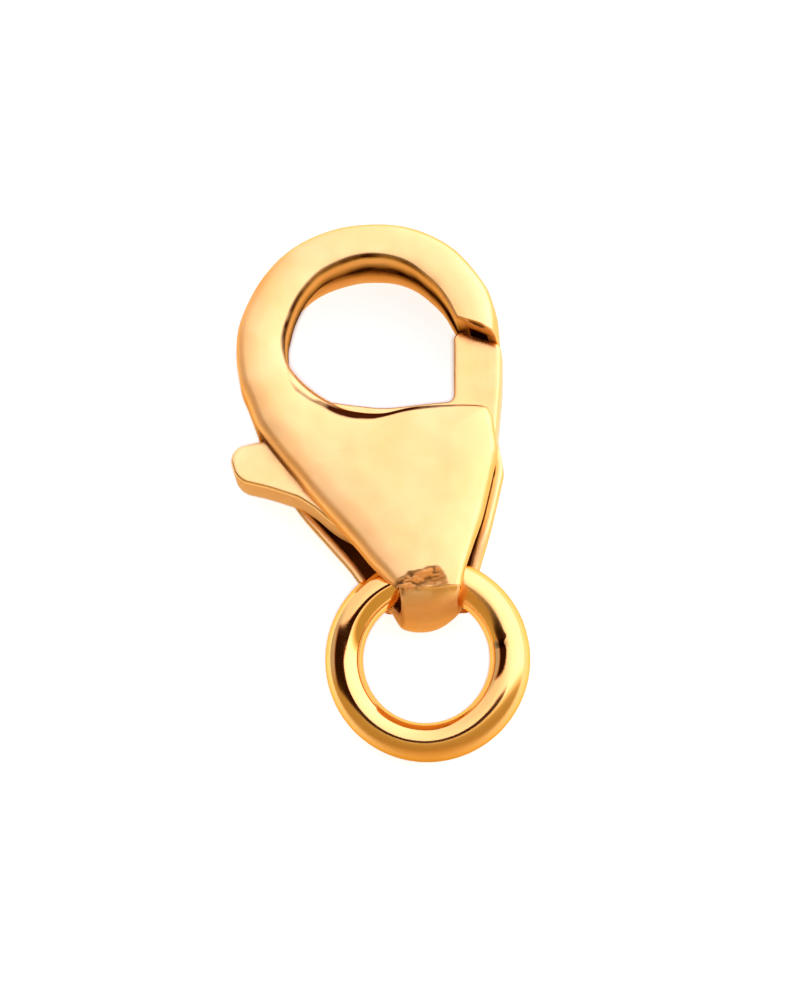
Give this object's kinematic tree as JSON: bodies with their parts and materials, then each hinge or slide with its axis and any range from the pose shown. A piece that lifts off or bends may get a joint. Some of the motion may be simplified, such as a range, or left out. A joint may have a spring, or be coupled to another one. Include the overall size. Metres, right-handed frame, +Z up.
{
  "type": "lobster clasp",
  "caption": "Lobster clasp: hollow folded body with a curved hook, spring-closed trigger that shuts the hook, and a closed jump ring through the tail loop.",
  "frame": {"origin": "centre of the bounding box in X and Y, on the surface that the clasp lies on", "axes": "+Z up out of the front face, +Y from the jump ring towards the top of the hook, +X towards the gate side"},
  "size_m": [0.0058, 0.0104, 0.0022],
  "materials": {
    "body": "polished gold-filled sheet",
    "trigger": "polished gold-filled",
    "pivot_pin": "plain turned wire",
    "jump_ring": "polished gold-filled wire"
  },
  "bodies": {
    "clasp": {"body": "body", "pivot_pin": "pivot_pin"},
    "lever": {"trigger": "trigger"},
    "ring": {"jump_ring": "jump_ring"}
  },
  "joints": [
    {"name": "gate_swing", "type": "hinge", "parent": "clasp", "child": "lever", "pos_m": [0.00101, -0.0004, 0.0011], "axis": [0, 0, 1], "range_deg": [0, 18], "stiffness_Nm_per_rad": 0.000012, "springref_deg": -18.91},
    {"name": "ring_swing", "type": "hinge", "parent": "clasp", "child": "ring", "pos_m": [0.00088, -0.00169, 0.00101], "axis": [1, 0, 0], "range_deg": [-60, 6]}
  ]
}
